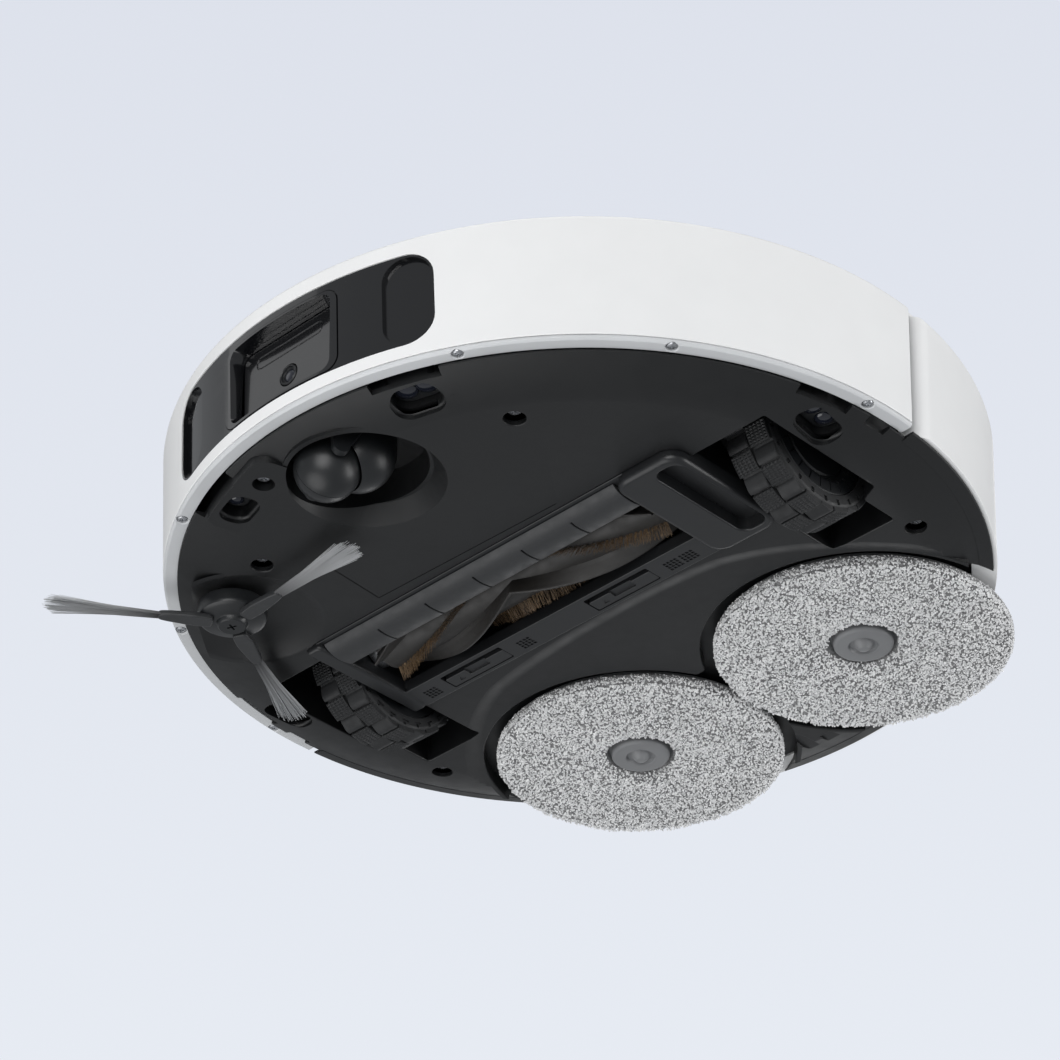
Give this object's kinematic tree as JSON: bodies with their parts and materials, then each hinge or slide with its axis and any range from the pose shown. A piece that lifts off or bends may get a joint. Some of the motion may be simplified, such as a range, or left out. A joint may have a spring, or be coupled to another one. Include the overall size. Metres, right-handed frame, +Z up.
{
  "type": "robot vacuum and mop",
  "caption": "Round robot vacuum with a roller brush, side brush, sprung wheels, caster, spinning mop pads and a sliding bumper.",
  "frame": {"origin": "on the floor under the centre of the round body", "axes": "+Z up, -Y towards the front with the camera window, +X towards the robot's left"},
  "size_m": [0.3508, 0.3508, 0.097],
  "materials": {
    "white_shell": "satin",
    "grey_trim": "satin",
    "charcoal": "satin",
    "dark_cover": "satin",
    "gloss_black": "gloss",
    "soft_rubber": "matte",
    "tread_rubber": "matte",
    "brush_bristle": "matte",
    "mop_cloth": "matte",
    "mop_hub_grey": "satin",
    "steel": "satin",
    "contact_metal": "satin",
    "circuit_board": "satin",
    "tinted_clear": "gloss",
    "battery_wrap": "satin"
  },
  "bodies": {
    "chassis": {"chassis_base": "charcoal", "rear_shell": "white_shell", "top_cover": "white_shell", "lidar_turret_cap": "white_shell", "sensor_module": "dark_cover", "battery_pack": "battery_wrap", "main_board": "circuit_board", "water_tank": "tinted_clear", "suction_fan_housing": "dark_cover", "dust_bin": "tinted_clear", "dust_filter": "mop_cloth", "cliff_sensor_front_left": "gloss_black", "cliff_sensor_front_right": "gloss_black", "cliff_sensor_left": "gloss_black", "cliff_sensor_right": "gloss_black", "charging_contact_left": "contact_metal", "charging_contact_right": "contact_metal", "main_brush_bearing": "dark_cover", "main_brush_motor": "dark_cover", "brush_cover": "dark_cover", "brush_flap": "soft_rubber", "side_brush_motor": "dark_cover", "bumper_spring_left": "steel", "bumper_spring_right": "steel", "wheel_spring_left": "steel", "wheel_spring_right": "steel"},
    "bumper": {"bumper_shell": "white_shell", "bumper_bezel": "grey_trim", "bumper_window": "gloss_black", "camera_pane": "gloss_black", "camera_lens": "gloss_black", "bezel_screw_1": "steel", "bezel_screw_2": "steel", "bezel_screw_3": "steel", "bezel_screw_4": "steel", "bezel_screw_5": "steel", "bezel_screw_6": "steel"},
    "lid_panel": {"lid": "white_shell"},
    "power_key": {"power_button": "grey_trim"},
    "home_key": {"home_button": "grey_trim"},
    "lidar_head": {"lidar_rotor": "gloss_black"},
    "fan_wheel": {"suction_fan_impeller": "mop_hub_grey"},
    "brush_roller": {"main_brush": "brush_bristle"},
    "latch_left": {"brush_latch_left": "dark_cover"},
    "latch_right": {"brush_latch_right": "dark_cover"},
    "side_sweeper": {"side_brush": "charcoal"},
    "arm_left": {"wheel_module_left": "dark_cover"},
    "arm_right": {"wheel_module_right": "dark_cover"},
    "wheel_left": {"wheel_hub_left": "charcoal", "wheel_tyre_left": "tread_rubber"},
    "wheel_right": {"wheel_hub_right": "charcoal", "wheel_tyre_right": "tread_rubber"},
    "caster_swivel": {"caster_fork": "charcoal"},
    "caster_wheel": {"caster_ball": "charcoal"},
    "mop_lift_left": {"mop_drive_left": "dark_cover"},
    "mop_lift_right": {"mop_drive_right": "dark_cover"},
    "mop_left": {"mop_disc_left": "mop_hub_grey", "mop_pad_left": "mop_cloth"},
    "mop_right": {"mop_disc_right": "mop_hub_grey", "mop_pad_right": "mop_cloth"}
  },
  "joints": [
    {"name": "bumper_press", "type": "slide", "parent": "chassis", "child": "bumper", "axis": [0, 1, 0], "range_m": [0, 0.0035], "stiffness_N_per_m": 600, "springref_m": -0.002, "deforming": ["bumper_spring_left", "bumper_spring_right"]},
    {"name": "lid_lift", "type": "slide", "parent": "chassis", "child": "lid_panel", "axis": [0, 0, 1], "range_m": [0, 0.03]},
    {"name": "power_button_press", "type": "slide", "parent": "chassis", "child": "power_key", "axis": [0, 0, -1], "range_m": [0, 0.0008], "stiffness_N_per_m": 1500, "springref_m": -0.0006},
    {"name": "home_button_press", "type": "slide", "parent": "chassis", "child": "home_key", "axis": [0, 0, -1], "range_m": [0, 0.0008], "stiffness_N_per_m": 1500, "springref_m": -0.0006},
    {"name": "lidar_spin", "type": "hinge", "parent": "chassis", "child": "lidar_head", "pos_m": [0, 0.058, 0.085], "axis": [0, 0, 1], "continuous": true},
    {"name": "fan_spin", "type": "hinge", "parent": "chassis", "child": "fan_wheel", "pos_m": [0.072, -0.084, 0.045], "axis": [0, 0, 1], "continuous": true},
    {"name": "main_brush_spin", "type": "hinge", "parent": "chassis", "child": "brush_roller", "pos_m": [0, -0.022, 0.0243], "axis": [1, 0, 0], "continuous": true},
    {"name": "side_brush_spin", "type": "hinge", "parent": "chassis", "child": "side_sweeper", "pos_m": [-0.1047, -0.0994, 0.01], "axis": [0, 0, 1], "continuous": true},
    {"name": "brush_latch_left_slide", "type": "slide", "parent": "chassis", "child": "latch_left", "axis": [0, -1, 0], "range_m": [0, 0.0025], "stiffness_N_per_m": 400, "springref_m": -0.001},
    {"name": "brush_latch_right_slide", "type": "slide", "parent": "chassis", "child": "latch_right", "axis": [0, -1, 0], "range_m": [0, 0.0025], "stiffness_N_per_m": 400, "springref_m": -0.001},
    {"name": "wheel_left_suspension", "type": "hinge", "parent": "chassis", "child": "arm_left", "pos_m": [0.0985, -0.036, 0.052], "axis": [1, 0, 0], "range_deg": [0, 6.5], "stiffness_Nm_per_rad": 3, "springref_deg": -14.32, "deforming": ["wheel_spring_left"]},
    {"name": "wheel_right_suspension", "type": "hinge", "parent": "chassis", "child": "arm_right", "pos_m": [-0.0985, -0.036, 0.052], "axis": [1, 0, 0], "range_deg": [0, 6.5], "stiffness_Nm_per_rad": 3, "springref_deg": -14.32, "deforming": ["wheel_spring_right"]},
    {"name": "wheel_left_spin", "type": "hinge", "parent": "arm_left", "child": "wheel_left", "pos_m": [0.119, 0.0014, 0.0348], "axis": [1, 0, 0], "continuous": true},
    {"name": "wheel_right_spin", "type": "hinge", "parent": "arm_right", "child": "wheel_right", "pos_m": [-0.119, 0.0014, 0.0348], "axis": [1, 0, 0], "continuous": true},
    {"name": "caster_turn", "type": "hinge", "parent": "chassis", "child": "caster_swivel", "pos_m": [0, -0.128, 0.035], "axis": [0, 0, 1], "continuous": true},
    {"name": "caster_roll", "type": "hinge", "parent": "caster_swivel", "child": "caster_wheel", "pos_m": [-0.0053, -0.1396, 0.0135], "axis": [0.9096, -0.4156, 0], "continuous": true},
    {"name": "mop_left_lift", "type": "slide", "parent": "chassis", "child": "mop_lift_left", "axis": [0, 0, 1], "range_m": [-0.01, 0]},
    {"name": "mop_right_lift", "type": "slide", "parent": "chassis", "child": "mop_lift_right", "axis": [0, 0, 1], "range_m": [-0.01, 0]},
    {"name": "mop_left_spin", "type": "hinge", "parent": "mop_lift_left", "child": "mop_left", "pos_m": [0.064, 0.1063, 0.014], "axis": [0, 0, 1], "continuous": true},
    {"name": "mop_right_spin", "type": "hinge", "parent": "mop_lift_right", "child": "mop_right", "pos_m": [-0.064, 0.1063, 0.014], "axis": [0, 0, 1], "continuous": true}
  ],
  "couplings": [
    {"joint": "mop_right_lift", "follows": "mop_left_lift", "ratio": 1},
    {"joint": "mop_right_spin", "follows": "mop_left_spin", "ratio": -1}
  ]
}
